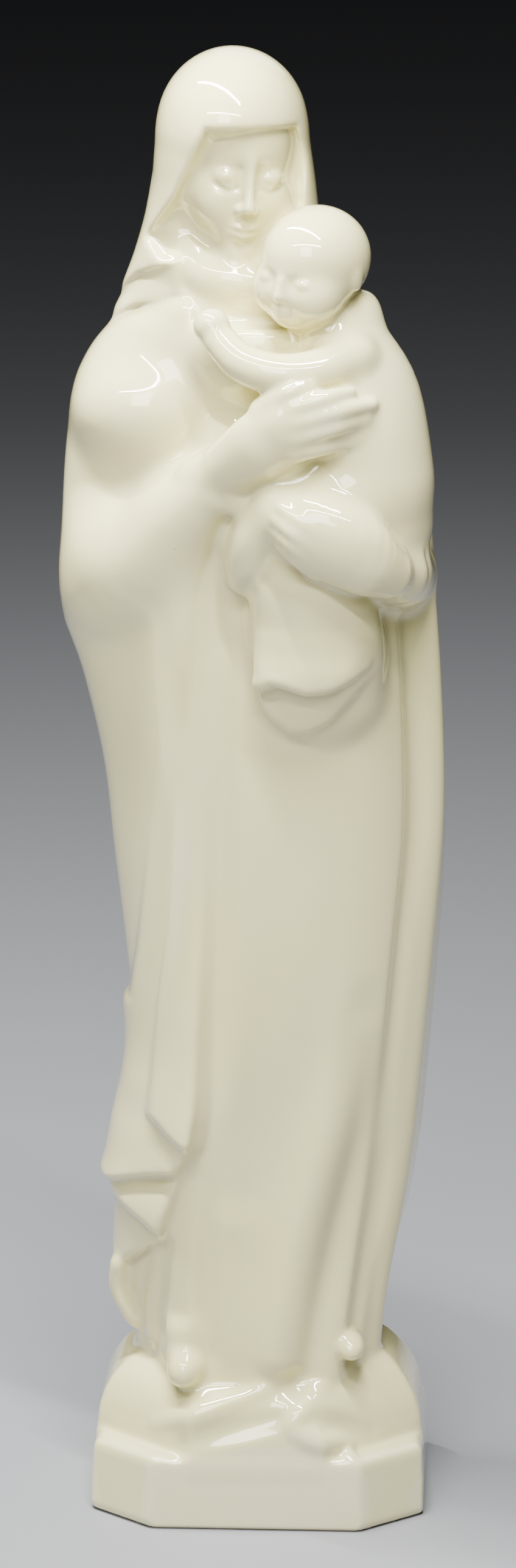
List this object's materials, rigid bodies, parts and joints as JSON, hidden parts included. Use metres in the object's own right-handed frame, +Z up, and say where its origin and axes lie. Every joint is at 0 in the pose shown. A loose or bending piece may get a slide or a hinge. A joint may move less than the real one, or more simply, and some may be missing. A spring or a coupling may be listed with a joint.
{
  "type": "virgin and child statue",
  "caption": "Standing glazed porcelain Virgin in veil and mantle holding the Child on the left arm, cast in one with a rock mound and a low eight-sided plinth.",
  "frame": {"origin": "centre of the plinth's flat underside, on the surface that the statuette stands on", "axes": "+Z up through the figure, -Y the way the plinth's long front side and the figure face, +X to the viewer's right, where the Child sits"},
  "size_m": [0.086, 0.0745, 0.33],
  "materials": {
    "glazed_porcelain": "clear high gloss over warm white porcelain"
  },
  "bodies": {
    "root": {"statuette": "glazed_porcelain"}
  },
  "joints": []
}
